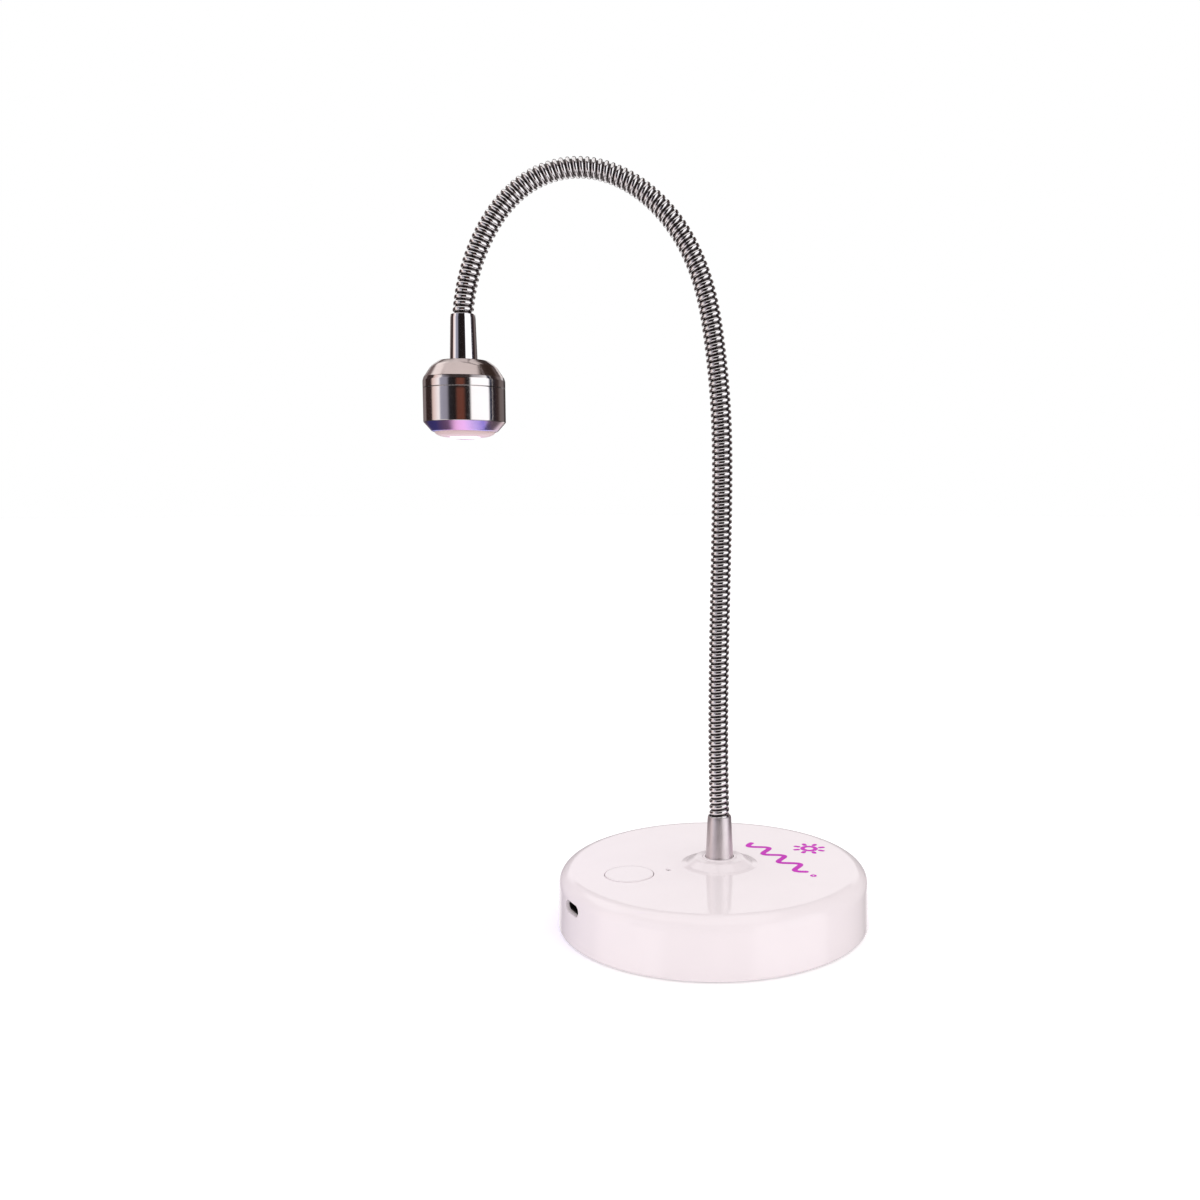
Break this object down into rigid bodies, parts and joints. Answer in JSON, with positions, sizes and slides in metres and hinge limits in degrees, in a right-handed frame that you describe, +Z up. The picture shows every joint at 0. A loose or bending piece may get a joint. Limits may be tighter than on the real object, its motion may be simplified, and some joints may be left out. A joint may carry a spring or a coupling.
{
  "type": "uv curing lamp",
  "caption": "Desktop UV curing lamp: weighted round base with a push button and charging inlet, a flexible metal gooseneck and a small turned metal lamp head pointing down.",
  "frame": {"origin": "centre of the round base, in the plane of its underside, where it meets the table", "axes": "+Z up; the neck bends in the XZ plane at rest with the lamp head towards -X; +Y to the back"},
  "size_m": [0.141, 0.1002, 0.2402],
  "materials": {
    "base_white": "glossy moulded ABS, very slightly pink white",
    "button_white": "glossy moulded ABS",
    "cover_white": "fine-textured ABS",
    "foot_rubber": "matt black",
    "hose_chrome": "chromed coiled steel, bright bands between dark grooves",
    "satin_steel": "satin, turned",
    "polished_steel": "finely turned and polished",
    "ferrule_chrome": "mirror",
    "zinc_steel": "zinc plated",
    "screw_steel": "bright zinc",
    "battery_foil": "silver laminate pouch",
    "grey_foam": "closed-cell foam tape",
    "cable_grey": "satin jacket",
    "connector_ivory": "moulded nylon",
    "board_green": "solder mask",
    "chip_black": "moulded epoxy",
    "clear_acrylic": "clear, polished",
    "lens_acrylic": "clear, lit violet from inside",
    "lens_holder_ivory": "ivory, lit pink by the lamp",
    "raw_aluminium": "as turned",
    "board_white": "white solder mask on aluminium",
    "emitter_yellow": "silicone over the die"
  },
  "bodies": {
    "base": {"base_shell": "base_white", "bottom_cover": "cover_white", "anti_slip_pad": "foot_rubber", "ballast_plate": "zinc_steel", "battery_cell": "battery_foil", "battery_pad": "grey_foam", "battery_lead": "cable_grey", "battery_connector": "connector_ivory", "control_board": "board_green", "charge_chip": "chip_black", "driver_inductor": "chip_black", "status_led": "connector_ivory", "light_pipe": "clear_acrylic", "tact_switch": "chip_black", "usb_c_receptacle": "satin_steel", "lead_connector": "connector_ivory", "base_lead": "cable_grey", "cover_screw_1": "screw_steel", "cover_screw_2": "screw_steel", "cover_screw_3": "screw_steel", "cover_screw_4": "screw_steel", "board_screw_1": "screw_steel", "board_screw_2": "screw_steel", "neck_washer": "screw_steel", "neck_lock_nut": "screw_steel", "lower_ferrule": "satin_steel", "hose_section_00": "hose_chrome"},
    "button": {"power_button": "button_white"},
    "plunger": {"switch_plunger": "connector_ivory"},
    "neck_01": {"hose_section_01": "hose_chrome"},
    "neck_02": {"hose_section_02": "hose_chrome"},
    "neck_03": {"hose_section_03": "hose_chrome"},
    "neck_04": {"hose_section_04": "hose_chrome"},
    "neck_05": {"hose_section_05": "hose_chrome"},
    "neck_06": {"hose_section_06": "hose_chrome"},
    "neck_07": {"hose_section_07": "hose_chrome"},
    "neck_08": {"hose_section_08": "hose_chrome"},
    "neck_09": {"hose_section_09": "hose_chrome"},
    "neck_10": {"hose_section_10": "hose_chrome"},
    "neck_11": {"hose_section_11": "hose_chrome"},
    "neck_12": {"hose_section_12": "hose_chrome"},
    "neck_13": {"hose_section_13": "hose_chrome"},
    "head": {"hose_section_14": "hose_chrome", "upper_ferrule": "ferrule_chrome", "head_cap": "polished_steel", "cap_o_ring": "foot_rubber", "head_lock_nut": "screw_steel", "head_barrel": "polished_steel", "heat_spreader": "raw_aluminium", "led_board": "board_white", "uv_emitter": "emitter_yellow", "lens_holder": "lens_holder_ivory", "lens": "lens_acrylic", "head_lead": "cable_grey"}
  },
  "joints": [
    {"name": "neck_bend_01", "type": "hinge", "parent": "base", "child": "neck_01", "pos_m": [0.002, 0, 0.04478], "axis": [0, 1, 0], "range_deg": [-38, 41]},
    {"name": "neck_cross_02", "type": "hinge", "parent": "neck_01", "child": "neck_02", "pos_m": [0.00159, 0, 0.06535], "axis": [1, 0, 0.0061], "range_deg": [-39, 39]},
    {"name": "neck_bend_03", "type": "hinge", "parent": "neck_02", "child": "neck_03", "pos_m": [0.00175, 0, 0.08592], "axis": [0, 1, 0], "range_deg": [-40, 39]},
    {"name": "neck_bend_04", "type": "hinge", "parent": "neck_03", "child": "neck_04", "pos_m": [0.00211, 0, 0.10649], "axis": [0, 1, 0], "range_deg": [-40, 39]},
    {"name": "neck_cross_05", "type": "hinge", "parent": "neck_04", "child": "neck_05", "pos_m": [0.0025, 0, 0.12706], "axis": [-0.9999, 0, 0.0133], "range_deg": [-39, 39]},
    {"name": "neck_bend_06", "type": "hinge", "parent": "neck_05", "child": "neck_06", "pos_m": [0.00266, 0, 0.14763], "axis": [0, -1, 0], "range_deg": [-42, 37]},
    {"name": "neck_bend_07", "type": "hinge", "parent": "neck_06", "child": "neck_07", "pos_m": [0.00192, 0, 0.16818], "axis": [0, -1, 0], "range_deg": [-44, 35]},
    {"name": "neck_bend_08", "type": "hinge", "parent": "neck_07", "child": "neck_08", "pos_m": [-0.0003, 0, 0.18863], "axis": [0, -1, 0], "range_deg": [-47, 32]},
    {"name": "neck_bend_09", "type": "hinge", "parent": "neck_08", "child": "neck_09", "pos_m": [-0.00519, 0, 0.20856], "axis": [0, -1, 0], "range_deg": [-58, 21]},
    {"name": "neck_bend_10", "type": "hinge", "parent": "neck_09", "child": "neck_10", "pos_m": [-0.01599, 0, 0.22593], "axis": [0, 1, 0], "range_deg": [-14, 65]},
    {"name": "neck_bend_11", "type": "hinge", "parent": "neck_10", "child": "neck_11", "pos_m": [-0.0331, 0, 0.23694], "axis": [0, 1, 0], "range_deg": [-13, 75]},
    {"name": "neck_bend_12", "type": "hinge", "parent": "neck_11", "child": "neck_12", "pos_m": [-0.05323, 0, 0.23596], "axis": [0, 1, 0], "range_deg": [-12, 78]},
    {"name": "neck_bend_13", "type": "hinge", "parent": "neck_12", "child": "neck_13", "pos_m": [-0.06849, 0, 0.22262], "axis": [0, 1, 0], "range_deg": [-14, 65]},
    {"name": "neck_cross_14", "type": "hinge", "parent": "neck_13", "child": "head", "pos_m": [-0.07659, 0, 0.20382], "axis": [-0.9467, 0, 0.3222], "range_deg": [-38, 38]},
    {"name": "button_press", "type": "slide", "parent": "base", "child": "button", "axis": [0, 0, 1], "range_m": [-0.0006, 0], "stiffness_N_per_m": 900, "springref_m": 0.0003},
    {"name": "plunger_press", "type": "slide", "parent": "base", "child": "plunger", "axis": [0, 0, 1], "range_m": [-0.0006, 0]}
  ],
  "couplings": [
    {"joint": "plunger_press", "follows": "button_press", "ratio": 1}
  ]
}
